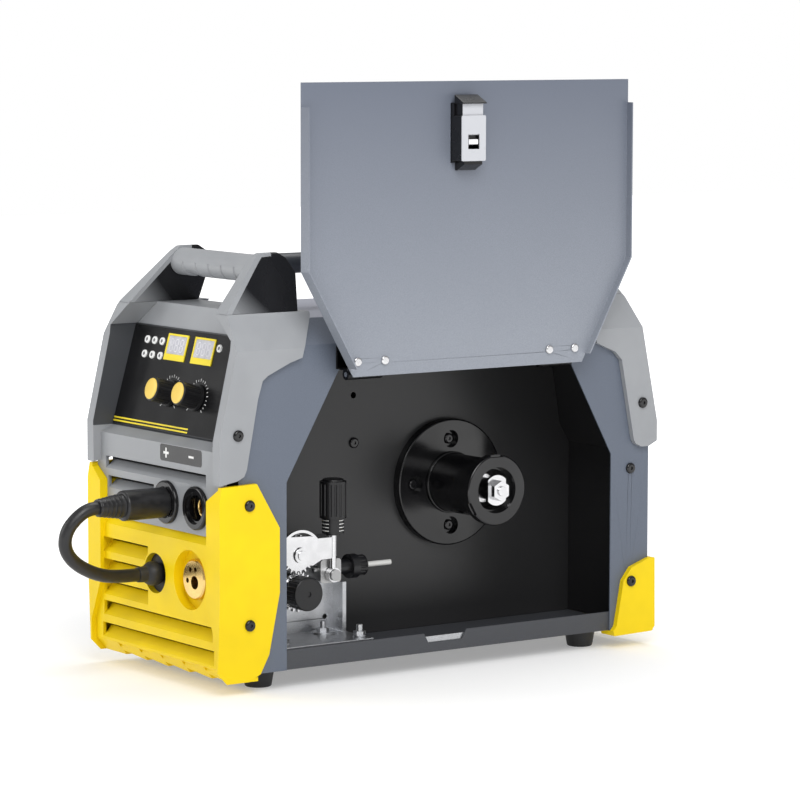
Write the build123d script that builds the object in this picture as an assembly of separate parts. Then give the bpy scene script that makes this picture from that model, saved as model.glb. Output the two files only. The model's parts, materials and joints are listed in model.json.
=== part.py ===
from build123d import *
import os
from math import atan2, cos, degrees, pi, radians, sin, tan

# Compact MIG/MAG welding machine with a built-in wire feeder, its side door swung fully open.
# X is the width (+X is the door side), Y the length (-Y is the front), +Z is up, in millimetres.
# It is drawn from the floor between the feet, in the casing's middle plane, then saved with the
# origin on the floor under the middle of the whole machine, door open.

# ---- driving dimensions ----
MODEL_PLACE = Pos(-15, 8, 0)    # from the drawing's origin to the saved one
SHEET = 1.5                     # casing sheet thickness
GAP = 0.3                       # clearance between plastic covers and the casing
HALF_WIDTH = 97.0               # casing half width
TRIM_HALF = 102.0               # half width over the plastic trim
TRIM_INNER = 92.0               # inner face of the trim's side cheeks
TRIM_TOP = 301.0
CREASE_Z = 273.8                # height where the trim's cheeks start to lean in
CASE_BOTTOM = 16.0
CASE_TOP = 295.4
SHOULDER_Z = 275.0              # height where the casing's top corners start to lean in
TOP_HALF = 80.0                 # half width of the casing's flat top
CASE_FRONT = -205.0
CASE_REAR = 208.5
SILL_TOP = 32.0
WALL = 3.0                      # plastic skin thickness

OPENING = [(-160, 10), (-160, 167), (-110.1, 253.5), (120.5, 253.5), (168, 167), (168, 10)]
DOOR_GAP = 1.0
DOOR_THICKNESS = 1.2
DOOR_BOTTOM = 18.8
DOOR_TOP = 252.2
DOOR_FLANGE = 12.0
HINGE_X, HINGE_Z = 106.5, 250.8
HINGE_CENTRES = (-93.0, 98.5)
LATCH_Y = -3.0
LATCH_TIP = 29.6                # height of the bolt's tip with the door shut

PANEL_TILT = atan2(23.3, 82.0)  # lean of the control panel from upright, in radians
PANEL_PLANE = Plane(origin=(0, -194.65, 241), x_dir=(1, 0, 0),
                    z_dir=(0, -cos(PANEL_TILT), sin(PANEL_TILT)))
KNOB_X = (-14.0, 26.7)
KNOB_V = -11.4

FRONT_PLANE = -219.0            # grey face that carries the sockets
LOWER_PLANE = -221.5            # yellow face below it
SOCKET_X = (12.5, 57.5)
SOCKET_Z = 146.5
WIRE_X, WIRE_Z = 50.0, 86.0     # line of the welding wire
TORCH_Z = 88.2                  # height of the torch connector's round face
TORCH_BORE_X = WIRE_X + 2       # its main bore stands a little off its centre
LEAD_X, LEAD_Z = -3.0, 87.0
LEAD_RADIUS = 5.4

PARTITION_X = -2.0              # face of the partition on the wire compartment's side
HUB_Y, HUB_Z = 67.0, 140.8
HUB_RADIUS = 25.0
HUB_LENGTH = 58.0
ROLL_Y = -124.0
ROLL_RADIUS = 15.0
ROLL_Z = WIRE_Z - ROLL_RADIUS - 0.2
PRESS_Z = WIRE_Z + ROLL_RADIUS + 0.2
TENSION_X, TENSION_Y = 59.0, -90.0
TENSION_PIVOT_Z = 82.0
ARM_PIVOT_Y = -152.0

FOOT_XY = [(-67, -168), (67, -168), (-67, 159), (67, 159)]
FAN_X, FAN_Z = -48.0, 96.0
FAN_RADIUS = 38.0
SWITCH_X, SWITCH_Z = -62.0, 151.0
GLAND_X, GLAND_Z = -23.0, 151.0
GAS_X, GAS_Z = -30.0, 38.0
RUNNING_FIT = 0.06

SIDE_SCREWS = [(-208.7, 207.7, TRIM_HALF), (-198.2, 151.7, TRIM_HALF), (-197.6, 56.3, TRIM_HALF - 0.9),
               (197.5, 209.3, TRIM_HALF), (186.5, 57.5, TRIM_HALF), (188.6, 153.5, HALF_WIDTH)]
PARTITION_SCREW = (-28.0, 180.0)
HUB_SCREW_CIRCLE = 37.0


# ---- drawing helpers ----
def block(x, y, z):
    """Box between two limits on each axis."""
    centre = Pos((x[0] + x[1]) / 2, (y[0] + y[1]) / 2, (z[0] + z[1]) / 2)
    return centre * Box(x[1] - x[0], y[1] - y[0], z[1] - z[0])


def side_prism(outline, x0, x1):
    """(y, z) outline extruded from x0 to x1."""
    return extrude(Plane.YZ.offset(x0) * make_face(Polyline(*outline, close=True)), x1 - x0)


def front_prism(outline, y0, y1):
    """(x, z) outline extruded from y0 to y1."""
    plane = Plane(origin=(0, y1, 0), x_dir=(1, 0, 0), z_dir=(0, -1, 0))
    return extrude(plane * make_face(Polyline(*outline, close=True)), y1 - y0)


def plan_prism(outline, z0, z1):
    """(x, y) outline extruded from z0 to z1."""
    return extrude(Plane.XY.offset(z0) * make_face(Polyline(*outline, close=True)), z1 - z0)


def rod(start, end, radius):
    """Round bar between two points."""
    run = Vector(*end) - Vector(*start)
    place = Plane(origin=start, z_dir=run)
    return place * Cylinder(radius, run.length, align=(Align.CENTER, Align.CENTER, Align.MIN))


def cone(start, end, radius, end_radius):
    """Tapered round bar between two points."""
    run = Vector(*end) - Vector(*start)
    place = Plane(origin=start, z_dir=run)
    return place * Cone(radius, end_radius, run.length, align=(Align.CENTER, Align.CENTER, Align.MIN))


def x_rod(x0, x1, y, z, radius):
    """Round bar along X."""
    return rod((x0, y, z), (x1, y, z), radius)


def y_rod(y0, y1, x, z, radius):
    """Round bar along Y."""
    return rod((x, y0, z), (x, y1, z), radius)


def z_rod(z0, z1, x, y, radius):
    """Round bar along Z."""
    return rod((x, y, z0), (x, y, z1), radius)


def hex_bar(start, end, across):
    """Hexagonal bar between two points, sized across its flats."""
    run = Vector(*end) - Vector(*start)
    profile = RegularPolygon(across / 2, 6, major_radius=False)
    return extrude(Plane(origin=start, z_dir=run) * profile, run.length)


def both_sides(shape):
    """The shape and its mirror image across the middle plane."""
    return shape + mirror(shape, about=Plane.YZ)


def group(shapes):
    """Separate solids kept together in one node."""
    return Compound([solid for shape in shapes for solid in shape.solids()])


def swung_open(shape):
    """A door part drawn closed, turned about the hinge to the open rest pose."""
    return shape.rotate(Axis((HINGE_X, 0, HINGE_Z), (0, 1, 0)), 180)


def save(name, shape):
    export_step(MODEL_PLACE * shape, f"parts/{name}.step")


# ---- casing ----
def case_section(inset):
    """(x, z) face of the casing's outline, drawn in by inset."""
    outline = [(-HALF_WIDTH, CASE_BOTTOM), (-HALF_WIDTH, SHOULDER_Z), (-TOP_HALF, CASE_TOP),
               (TOP_HALF, CASE_TOP), (HALF_WIDTH, SHOULDER_Z), (HALF_WIDTH, CASE_BOTTOM)]
    face = make_face(Polyline(*outline, close=True))
    return offset(face, -inset, kind=Kind.INTERSECTION) if inset else face


def case_bar(inset, y0, y1):
    """The casing's outline, drawn in by inset, as a solid bar."""
    plane = Plane(origin=(0, y1, 0), x_dir=(1, 0, 0), z_dir=(0, -1, 0))
    return extrude(plane * case_section(inset), y1 - y0)


def case_side(grow):
    """(y, z) outline of the casing seen from the side, grown by a clearance."""
    front, rear, top = CASE_FRONT - grow, CASE_REAR + grow, CASE_TOP + 1 + grow
    return [(front, CASE_BOTTOM - grow), (front, 190), (-178 - grow, 286), (-176 - grow, top),
            (180 + grow, top), (184 + grow, SHOULDER_Z), (201 + grow, 180), (rear, 171.5),
            (rear, CASE_BOTTOM - grow)]


def case_envelope():
    """Space the casing fills, with clearance, to cut out of the trim."""
    return case_bar(-GAP, CASE_FRONT - 5, CASE_REAR + 5) & side_prism(case_side(GAP), -120, 120)


def side_screw_holes(radius, x_inner):
    """Clearance holes for the screws through both sides."""
    holes = [x_rod(x_inner, TRIM_HALF + 1, y, z, radius) for y, z, _ in SIDE_SCREWS]
    return both_sides(Part() + holes)


def base_pan():
    floor = block((-95.2, 95.2), (-203, 203), (CASE_BOTTOM, CASE_BOTTOM + SHEET))
    lip = block((93.7, 95.2), (-198, 198), (CASE_BOTTOM, SILL_TOP))
    notch = side_prism([(LATCH_Y - 22, SILL_TOP + 1), (LATCH_Y - 17, SILL_TOP - 8),
                        (LATCH_Y + 17, SILL_TOP - 8), (LATCH_Y + 22, SILL_TOP + 1)], 90, 97)
    pan = floor + both_sides(lip) - notch
    for x, y in FOOT_XY:
        pan -= z_rod(10, 20, x, y, 2.6)
    return pan


def latch_strike():
    plate = block((92.1, 93.6), (LATCH_Y - 26, LATCH_Y + 26), (CASE_BOTTOM + SHEET + 0.1, LATCH_TIP - 0.6))
    foot = block((80, 93.6), (LATCH_Y - 26, LATCH_Y + 26), (CASE_BOTTOM + SHEET + 0.1, CASE_BOTTOM + 3))
    return plate + foot


def casing_cover():
    shell = case_bar(0, CASE_FRONT, CASE_REAR) - case_bar(SHEET, CASE_FRONT - 1, CASE_REAR + 1)
    shell -= block((-95.5, 95.5), (-230, 230), (10, 30))
    shell &= side_prism(case_side(0), -120, 120)
    shell -= side_prism(OPENING, 90, 105)
    return shell - side_screw_holes(2.5, 94)


def rubber_feet():
    feet = []
    for x, y in FOOT_XY:
        foot = cone((x, y, 0), (x, y, CASE_BOTTOM), 10.7, 13.5)
        foot = fillet(foot.edges().group_by(Axis.Z)[0], 1.5)
        feet.append(foot - z_rod(-1, 6, x, y, 5) - z_rod(-1, 20, x, y, 2.2))
    return group(feet)


def bent_plate(path, thickness, x_half):
    """Sheet that follows a (y, z) path, with its thickness measured along +Y."""
    back = [(y + thickness, z) for y, z in reversed(path)]
    return side_prism(path + back, -x_half, x_half)


def front_bulkhead():
    path = [(-200, 17.7), (-200, 180), (-189, 197), (-166, 285)]
    plate = bent_plate(path, SHEET, 95.1) & case_bar(SHEET + 0.2, -210, 210)
    for x in SOCKET_X:
        plate -= y_rod(-203, -195, x, SOCKET_Z, 12.4)
    plate -= y_rod(-203, -195, WIRE_X, TORCH_Z, 16.4)
    return plate - y_rod(-203, -195, LEAD_X, LEAD_Z, 8)


def rear_panel():
    path = [(201.5, 17.7), (201.5, 166), (192, 182), (176, 275), (174, 293)]
    panel = bent_plate(path, -SHEET, 95.1) & case_bar(SHEET + 0.2, -210, 210)
    slot_pitch = 7.0
    for row in range(-6, 7):
        half = (43.0 ** 2 - (row * slot_pitch) ** 2) ** 0.5 - 3
        z = FAN_Z + row * slot_pitch
        for x0, x1 in ((FAN_X - half, FAN_X - 2), (FAN_X + 2, FAN_X + half)):
            panel -= block((x0, x1), (195, 205), (z - 1.8, z + 1.8))
    panel -= block((SWITCH_X - 13.8, SWITCH_X + 13.8), (195, 205), (SWITCH_Z - 11.8, SWITCH_Z + 11.8))
    panel -= y_rod(195, 205, GLAND_X, GLAND_Z, 10.2)
    return panel - y_rod(195, 205, GAS_X, GAS_Z, 6.2)


def partition_wall():
    outline = [(-198.3, 17.7), (-198.3, 180), (-186.8, 197.2), (-163.8, 284), (-162, 293.7),
               (172.3, 293.7), (174.2, 275), (190, 182), (199.8, 166), (199.8, 17.7)]
    wall = side_prism(outline, PARTITION_X - SHEET, PARTITION_X)
    wall -= x_rod(-10, 5, ROLL_Y, ROLL_Z, 27)
    wall -= x_rod(-10, 5, HUB_Y, HUB_Z, 4.2)
    wall -= x_rod(-10, 5, -28.0, 220.0, 2.6)
    for y, z in hub_screw_centres() + [PARTITION_SCREW]:
        wall -= x_rod(-10, 5, y, z, 2.2)
    return wall


# ---- front trim ----
GREY_CHEEK = [(-226, 169), (-226, 203), (-209.6, CREASE_Z), (-207, 298), (-206, TRIM_TOP),
              (-129, TRIM_TOP), (-129.5, 298), (-146, 273.5), (-148, 266), (-160, 262.4), (-180.6, 253.3),
              (-185.5, 249.5), (-190, 235), (-200.5, 180.4), (-203, 175), (-209, 172)]
GREY_FACE = [(FRONT_PLANE, 125.2), (FRONT_PLANE, 193.5), (-206.3, 200), (-183, 282), (-179, TRIM_TOP),
             (-140, TRIM_TOP), (-140, 125.2)]
YELLOW_CHEEK = [(-226, 20), (-226, 156), (-224, 167.6), (-191.2, 168.6), (-169.8, 132), (-169.8, 80.8),
                (-178.4, 31), (-186, 16), (-196.4, 10.6), (-217, 10.6)]
RIB_PITCH = 33.0
RIB_DEPTH = 4.0
EAR_CREASE = 79.0               # height below which the bumper ears lean in
YELLOW_FACE = [(-216.5, 125), (LOWER_PLANE, 119), (LOWER_PLANE, 22), (-212, 10.6), (-188, 10.6),
               (-188, 125)]


def skin(outline, shift, half_width):
    """Open shell of an outline: the outline less itself moved back and down or up."""
    solid = side_prism(outline, -half_width, half_width)
    wider = side_prism(outline, -half_width - 1, half_width + 1)
    return solid - wider.translate((0, *shift))


def shoulder_cut():
    """Slanted top corners of the trim, as the space to remove."""
    outside = [(TRIM_HALF + 0.1, CREASE_Z), (84.4, 298.8), (82.6, TRIM_TOP), (82.6, 304), (110, 304),
               (110, CREASE_Z)]
    return both_sides(front_prism(outside, -240, 240))


def cheeks(outline, y0, y1):
    """The two side cheeks of a grey trim part, leaning in at the top towards the handle posts."""
    section = [(TRIM_HALF, 150), (TRIM_HALF, CREASE_Z), (84.4, 298.8), (82.6, TRIM_TOP), (66, TRIM_TOP),
               (90, 283), (TRIM_INNER, 281), (TRIM_INNER, 150)]
    return both_sides(front_prism(section, y0, y1) & side_prism(outline, 0, 120))


def louvre(x0, x1, z_top, face, drop, wall):
    """One slanted air slot in a front face: the space to cut, and the vane that leads into it."""
    depth = 8.0
    cut = side_prism([(face - 1, z_top), (face + depth, z_top), (face + depth, z_top - 3),
                      (face - 1, z_top - drop)], x0, x1)
    vane = side_prism([(face + 0.2, z_top - drop + 0.5), (face + depth, z_top - 3.5),
                       (face + depth + wall, z_top - 3.5), (face + wall, z_top - drop - wall)], x0, x1)
    return cut, vane


def fit_louvres(body, rows, face, drop):
    """Cut a set of slanted air slots, each with its vane."""
    for x0, x1, z_top in rows:
        cut, vane = louvre(x0, x1, z_top, face, drop, 2.2)
        body = body - cut + vane
    return body


def front_fascia():
    body = skin(GREY_FACE, (WALL, -WALL), TRIM_INNER + 5) + cheeks(GREY_CHEEK, -230, -120)
    body = body - shoulder_cut() - case_envelope()
    body = fit_louvres(body, [(-84, 71, 174.5), (-80, -8, 158.5), (-80, -8, 141.5)], FRONT_PLANE, 11)
    ear_space = [(81.6, 110), (81.6, 155.4), (103, 170), (103, 110)]
    body -= both_sides(front_prism(ear_space, -230, -202))
    for x in SOCKET_X:
        body -= y_rod(-230, -200, x, SOCKET_Z, 12.4)
    for x in KNOB_X:
        body -= panel_rod(x, KNOB_V, -10, 5, 4)
    return body - side_screw_holes(2.5, 95)


def lower_fascia():
    ear = [(TRIM_HALF, 10), (TRIM_HALF, 168.6), (82, 155), (82, 72), (97, 38), (97, 10)]
    cheek = front_prism(ear, -226, -205) + block((HALF_WIDTH, TRIM_HALF), (-226, -160), (10, 170))
    cheek &= side_prism(YELLOW_CHEEK, 0, 120)
    body = skin(YELLOW_FACE, (WALL, WALL), 98) + both_sides(cheek)
    body += side_prism([(LOWER_PLANE + 0.5, 21.5), (-211.6, 10.7), (-205, 10.7), (-205, 15), (-213, 21.5)], -96, 96)
    rows = [(-84, -14, 107.5), (-84, -14, 89.5), (-84, -14, 71.5), (-84, 84, 54.5), (-86, 86, 36)]
    body = fit_louvres(body, rows, LOWER_PLANE, 13)
    for x, z, radius in ((WIRE_X, TORCH_Z, 24), (LEAD_X, LEAD_Z, 16.5)):
        cup = y_rod(LOWER_PLANE + 0.1, -211, x, z, radius + 1.6)
        body = body + cup - y_rod(-226, -213, x, z, radius)
    body -= y_rod(-226, -205, WIRE_X, TORCH_Z, 16.4)
    body -= y_rod(-226, -205, LEAD_X, LEAD_Z, 8.4)
    for x in (-64, -31, 2, 35, 68):
        end = x + RIB_PITCH - 3
        body -= plan_prism([(x, -230), (x, LOWER_PLANE + RIB_DEPTH), (end, LOWER_PLANE)], 5, 21)
        body -= front_prism([(x, 5), (x, 10.6 + RIB_DEPTH), (end, 10.6)], -230, -206)
        body -= front_prism([(x, 5), (x, 13.2), (end, 10.6)], -206.1, -185)
    lean = [(TRIM_HALF, EAR_CREASE), (TRIM_HALF + 1, EAR_CREASE), (TRIM_HALF + 1, 5), (98.2, 5)]
    body -= both_sides(front_prism(lean, -230, -150))
    return body - case_envelope() - side_screw_holes(2.5, 95)


# ---- rear trim ----
REAR_CHEEK = [(148, 262.5), (168, 254), (175, 246.7), (188.6, 178), (191, 174.5), (197, 171.8),
              (205, 171.8), (213.7, 176), (213.7, 193), (197, CREASE_Z), (191.7, 298), (190.5, TRIM_TOP),
              (129, TRIM_TOP), (129.5, 298), (146, 273.5)]
REAR_FACE = [(210, 172), (210, 190), (195, 268), (183, TRIM_TOP), (140, TRIM_TOP), (140, 172)]
REAR_CORNER = [(206, 75.5), (212.4, 75.5), (213, 16.5), (209.8, 12.5), (169.4, 11.5), (167.9, 16),
               (171.5, 20), (178.7, 58.3), (187.3, 69)]


def rear_fascia():
    body = skin(REAR_FACE, (-WALL, -WALL), TRIM_INNER + 5) + cheeks(REAR_CHEEK, 120, 230)
    body = body - shoulder_cut() - case_envelope()
    for row in range(4):
        z = 212 + 14 * row
        body -= block((-60, 60), (180, 215), (z, z + 4))
    return body - side_screw_holes(2.5, 95)


def rear_bumper():
    corner = side_prism(REAR_CORNER, 84, TRIM_HALF)
    bar = front_prism([(-100, 12.5), (-100, 62), (-84, 62), (-72, 32), (72, 32), (84, 62), (100, 62),
                       (100, 12.5)], CASE_REAR + GAP, 212.5)
    body = both_sides(corner) + bar - case_envelope()
    return body - side_screw_holes(2.5, 95)


# ---- handle ----
POST_BASE = TRIM_TOP + 0.2
POST_SECTION = [(66, POST_BASE), (82.4, POST_BASE), (63.9, 343), (62, 346.4), (60.4, 347), (57.4, 347),
                (56, 343)]
FRONT_FOOT, REAR_FOOT = -206.5, -200.4     # front corner of a post's base, drawn as the front arch
POST_SIDE = [(-169, 342), (-163.5, 346.6), (-161.5, 347), (-145, 347), (-138.5, 342.5),
             (-132.8, 331), (-139.5, POST_BASE)]
POST_BACK = [(-203.5, 299), (-165.6, 339.7), (-161.4, 343.8), (-152, 344.4), (-151, 350), (-125, 350),
             (-125, 299)]
GRIP_Y, GRIP_Z, GRIP_RADIUS = -160.0, 334.0, 11.2


def handle_post(foot):
    """One leaning post of an arch, drawn as the front one, its sloped edge starting at foot."""
    return front_prism(POST_SECTION, -210, -120) & side_prism([(foot, POST_BASE)] + POST_SIDE, 50, 90)


def cross_bar(y):
    """Grip bar between two posts, with finger ridges underneath."""
    bar = rod((-58.5, y, GRIP_Z), (58.5, y, GRIP_Z), GRIP_RADIUS)
    for index in range(-2, 3):
        groove = Pos(index * 19.25 - 1, y, GRIP_Z) * Rot(0, 90, 0) * Torus(GRIP_RADIUS + 0.6, 1.5)
        bar -= groove & block((-60, 60), (y - 20, y + 20), (GRIP_Z - 20, GRIP_Z + 1))
    return bar


def front_handle():
    post = handle_post(FRONT_FOOT)
    rim = post - side_prism(POST_BACK, 40, 100)
    bar = cross_bar(GRIP_Y) - both_sides(side_prism(POST_BACK, 50, 100) & post)
    tube_socket = y_rod(GRIP_Y, -144, 0, 333, 8.6)
    return both_sides(rim) + bar - tube_socket


def front_handle_back():
    shell = handle_post(FRONT_FOOT) & side_prism(POST_BACK, 40, 100)
    shell -= y_rod(-172, -120, 0, 333, 8.7)
    return group([shell, mirror(shell, about=Plane.YZ)])


def rear_handle():
    post = mirror(handle_post(REAR_FOOT), about=Plane.XZ).translate((0, -10, 0))
    bar = cross_bar(-GRIP_Y - 10)
    tube_socket = y_rod(134, -GRIP_Y - 10, 0, 333, 8.6)
    return both_sides(post) + bar - tube_socket


def handle_tube():
    tube = y_rod(GRIP_Y, -GRIP_Y - 10, 0, 333, 8.5)
    return tube - y_rod(GRIP_Y - 1, -GRIP_Y, 0, 333, 6.5)


# ---- control panel ----
def panel_rod(x, v, start, end, radius):
    """Round bar square to the control panel, at (x, v) on its face."""
    rod_plane = PANEL_PLANE.offset(start)
    disc = rod_plane * Pos(x, v, 0) * Cylinder(radius, end - start,
                                               align=(Align.CENTER, Align.CENTER, Align.MIN))
    return disc


def panel_box(x, v, start, end):
    """Box on the control panel between limits across it, up it and out of it."""
    centre = Pos((x[0] + x[1]) / 2, (v[0] + v[1]) / 2, (start + end) / 2)
    return PANEL_PLANE * centre * Box(x[1] - x[0], v[1] - v[0], end - start)


DISPLAYS = [(-35.8, -5.0), (5.3, 36.1)]
DISPLAY_V = (15.2, 37.2)
DISPLAY_STRIP = 5.2
LED_SPOTS = [(-67, 29.8), (-55.6, 29.8), (-43.8, 29.8), (-66.5, 17.7), (-54.5, 17.7), (-42.2, 17.7),
             (43.2, 30.4)]
PANEL_SKIN = 1.6


def display_openings():
    low, high = DISPLAY_V
    return [((x0 + 1.6, x1 - 1.6), (low + DISPLAY_STRIP, high - 1.6)) for x0, x1 in DISPLAYS]


def control_panel():
    plate = panel_box((-91.6, 91.6), (-41.9, 41.2), 0.05, PANEL_SKIN)
    for x in KNOB_X:
        plate -= panel_rod(x, KNOB_V, -1, 3, 4)
    for x, v in LED_SPOTS:
        plate -= panel_rod(x, v, -1, 3, 2.6)
    for x, v in display_openings():
        plate -= panel_box(x, v, -1, 3)
    return plate


def display_frames():
    frames = []
    for x, (opening_x, opening_v) in zip(DISPLAYS, display_openings()):
        frame = panel_box(x, DISPLAY_V, PANEL_SKIN, PANEL_SKIN + 1)
        frames.append(frame - panel_box(opening_x, opening_v, 0, 5))
    return group(frames)


def display_windows():
    return group([panel_box(x, v, 0.1, PANEL_SKIN + 0.4) for x, v in display_openings()])


def indicator_lenses():
    lenses = []
    for x, v in LED_SPOTS:
        lens = panel_rod(x, v, 0.1, PANEL_SKIN + 1.1, 2.55)
        lenses.append(fillet(lens.edges().group_by(Axis.Y)[0], 0.8))
    return group(lenses)


def adjusting_knob(x):
    body = panel_rod(x, KNOB_V, PANEL_SKIN + 0.6, PANEL_SKIN + 19, 9.7)
    body = chamfer(body.edges().group_by(Axis.Y)[0], 0.9)
    for index in range(18):
        turn = 2 * pi * index / 18
        groove = panel_rod(x + 10.1 * cos(turn), KNOB_V + 10.1 * sin(turn), PANEL_SKIN, PANEL_SKIN + 16, 0.8)
        body -= groove
    skirt = panel_rod(x, KNOB_V, PANEL_SKIN + 0.6, PANEL_SKIN + 3, 11)
    return body + skirt + panel_rod(x, KNOB_V, -11, PANEL_SKIN + 1, 3)


def control_board():
    board = panel_box((-76, 76), (-36, 36), -15, -13.4)
    for x in KNOB_X:
        pot = panel_rod(x, KNOB_V, -13.4, -5.5, 8) - panel_rod(x, KNOB_V, -11.4, 0, 3 + RUNNING_FIT)
        board += pot
    for x, v in ((-60, -25), (-30, -28), (55, 5), (60, -20)):
        board += panel_box((x - 7, x + 7), (v - 4, v + 4), -13.4, -10)
    return board


# ---- sockets, torch connector and polarity lead ----
def weld_socket(x):
    body = y_rod(-222.5, FRONT_PLANE, x, SOCKET_Z, 17.5)
    body = fillet(body.edges().group_by(Axis.Y)[0], 1.6)
    body += y_rod(FRONT_PLANE, -190, x, SOCKET_Z, 12.2)
    body += hex_bar((x, -196, SOCKET_Z), (x, -190, SOCKET_Z), 26)
    body = body - y_rod(-224, -220, x, SOCKET_Z, 12.8) - y_rod(-224, -212, x, SOCKET_Z, 10.4)
    return body - y_rod(-224, -193, x, SOCKET_Z, 6.6)


def euro_connector():
    body = y_rod(-218.2, -194, WIRE_X, TORCH_Z, 16.2)
    body = chamfer(body.edges().group_by(Axis.Y)[0], 1.2)
    body += hex_bar((WIRE_X, -198.3, TORCH_Z), (WIRE_X, -191, TORCH_Z), 38)
    body += y_rod(-192, -146, WIRE_X, WIRE_Z, 5)
    body -= y_rod(-219, -145, WIRE_X, WIRE_Z, 2.2)
    body -= y_rod(-219, -192, TORCH_BORE_X, WIRE_Z, 5.4)
    for angle in (70, 121, 190):
        x = WIRE_X + 8.8 * cos(radians(angle))
        z = TORCH_Z + 8.8 * sin(radians(angle))
        body -= y_rod(-219, -205, x, z, 2.1)
    return body


def lead_grommet():
    body = y_rod(-213.5, -198.6, LEAD_X, LEAD_Z, 7.8) + y_rod(-216.5, -213.1, LEAD_X, LEAD_Z, 16.2)
    body += Pos(LEAD_X, -223.5, LEAD_Z) * Sphere(10)
    body += cone((LEAD_X, -230, LEAD_Z), (LEAD_X, -238, LEAD_Z), 6.8, 6.1)
    return body


LEAD_ROUTE = [(-3.0, -238.0, 87.0), (-3.0, -253.0, 87.0), (0.2, -273.0, 89.6), (2.6, -291.0, 97.0),
              (5.0, -304.5, 106.5), (7.6, -311.5, 118.0), (9.6, -310.0, 130.5), (11.4, -301.5, 140.5),
              (12.5, -291.5, 146.5), (12.5, -284.0, 146.5)]


def corner_radii(route):
    """Arc radius of each corner: 0.45 of its shorter run over the tangent of half the turn."""
    radii = []
    for before, corner, after in zip(route, route[1:], route[2:]):
        first = Vector(*corner) - Vector(*before)
        second = Vector(*after) - Vector(*corner)
        turn = radians(first.get_angle(second))
        radii.append(0.45 * min(first.length, second.length) / tan(turn / 2))
    return radii


def polarity_lead():
    radii = corner_radii(LEAD_ROUTE)
    path = FilletPolyline(*LEAD_ROUTE, radius=radii)
    start = Plane(origin=LEAD_ROUTE[0], z_dir=path % 0)
    tube = sweep(start * Circle(LEAD_RADIUS), path=path)
    expected = pi * LEAD_RADIUS ** 2 * path.length
    print("lead radii", [round(radius, 1) for radius in radii], "length", round(path.length, 1))
    print("lead volume", round(tube.volume), "section times length", round(expected))
    return tube


def polarity_plug():
    x, z = SOCKET_X[0], SOCKET_Z
    body = y_rod(-262, -222.8, x, z, 12.3)
    body = fillet(body.edges().group_by(Axis.Y)[0], 2.2)
    body += cone((x, -261, z), (x, -284, z), 9.6, 7.0)
    for index in range(5):
        y = -265.5 - 3.8 * index
        body += y_rod(y - 1.1, y + 1.1, x, z, 9.7 - 0.55 * index)
    return body + y_rod(-223, -196, x, z, 6.5)


# ---- door, hinges and latch ----
def door_outline(inset):
    """(y, z) outline of the closed door, drawn in by inset."""
    face = make_face(Polyline(*OPENING, close=True))
    shape = offset(face, -(DOOR_GAP + inset), kind=Kind.INTERSECTION)
    bar = extrude(Plane.YZ.offset(60) * shape, 50)
    return bar & block((60, 110), (-200, 200), (DOOR_BOTTOM, DOOR_TOP))


def hinge_bounds(centre):
    return centre - 17.0, centre + 17.0


def door_screw_spots():
    return [(centre + side, 240.0) for centre in HINGE_CENTRES for side in (-13.2, 13.2)]


def door_panel():
    panel = door_outline(0) & block((HALF_WIDTH - DOOR_THICKNESS, HALF_WIDTH), (-200, 200), (0, 300))
    rim = door_outline(0) - door_outline(DOOR_THICKNESS)
    rim &= block((HALF_WIDTH - DOOR_FLANGE, HALF_WIDTH), (-200, 200), (38, 245))
    rim -= block((80, 100), (-105, 116), (236, 260))
    rim -= block((80, HALF_WIDTH - 8), (100, 180), (0, 260))
    panel += rim
    panel -= block((90, 100), (LATCH_Y - 12.2, LATCH_Y + 12.2), (36.3, 84.3))
    for y, z in door_screw_spots():
        panel -= x_rod(90, 100, y, z, 2.1)
    return swung_open(panel)


def hinge_door_leaves():
    leaves = []
    for centre in HINGE_CENTRES:
        low, high = hinge_bounds(centre)
        leaf = block((HALF_WIDTH + 0.05, HALF_WIDTH + SHEET), (low - 3, high + 3), (231, 247.6))
        web = block((HALF_WIDTH + 0.05, HINGE_X), (centre - 5.4, centre + 5.4), (246.3, 247.8))
        knuckle = y_rod(centre - 5.4, centre + 5.4, HINGE_X, HINGE_Z, 4.5)
        leaf = leaf + web + knuckle
        leaf -= y_rod(centre - 20, centre + 20, HINGE_X, HINGE_Z, 2 + RUNNING_FIT)
        for y, z in door_screw_spots():
            leaf -= x_rod(90, 100, y, z, 2.1)
        leaves.append(leaf)
    return swung_open(group(leaves))


def hinge_case_leaves():
    leaves = []
    for centre in HINGE_CENTRES:
        low, high = hinge_bounds(centre)
        leaf = block((HALF_WIDTH + 0.05, HALF_WIDTH + SHEET), (low - 3, high + 3), (254.6, 273))
        for y0, y1 in ((low, centre - 5.8), (centre + 5.8, high)):
            leaf += block((HALF_WIDTH + 0.05, HINGE_X), (y0, y1), (253.8, 255.3))
            leaf += y_rod(y0, y1, HINGE_X, HINGE_Z, 4.5)
        leaf -= y_rod(low - 1, high + 1, HINGE_X, HINGE_Z, 2)
        leaves.append(leaf)
    return group(leaves)


def hinge_pins():
    return group([y_rod(low, high, HINGE_X, HINGE_Z, 2) for low, high in map(hinge_bounds, HINGE_CENTRES)])


def pan_screw(y, z):
    head = x_rod(93.6, HALF_WIDTH - DOOR_THICKNESS, y, z, 3.7)
    head = fillet(head.edges().group_by(Axis.X)[0], 1.2)
    return head + x_rod(HALF_WIDTH - DOOR_THICKNESS, HALF_WIDTH + SHEET, y, z, 2)


def door_screws():
    return swung_open(group([pan_screw(y, z) for y, z in door_screw_spots()]))


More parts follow.
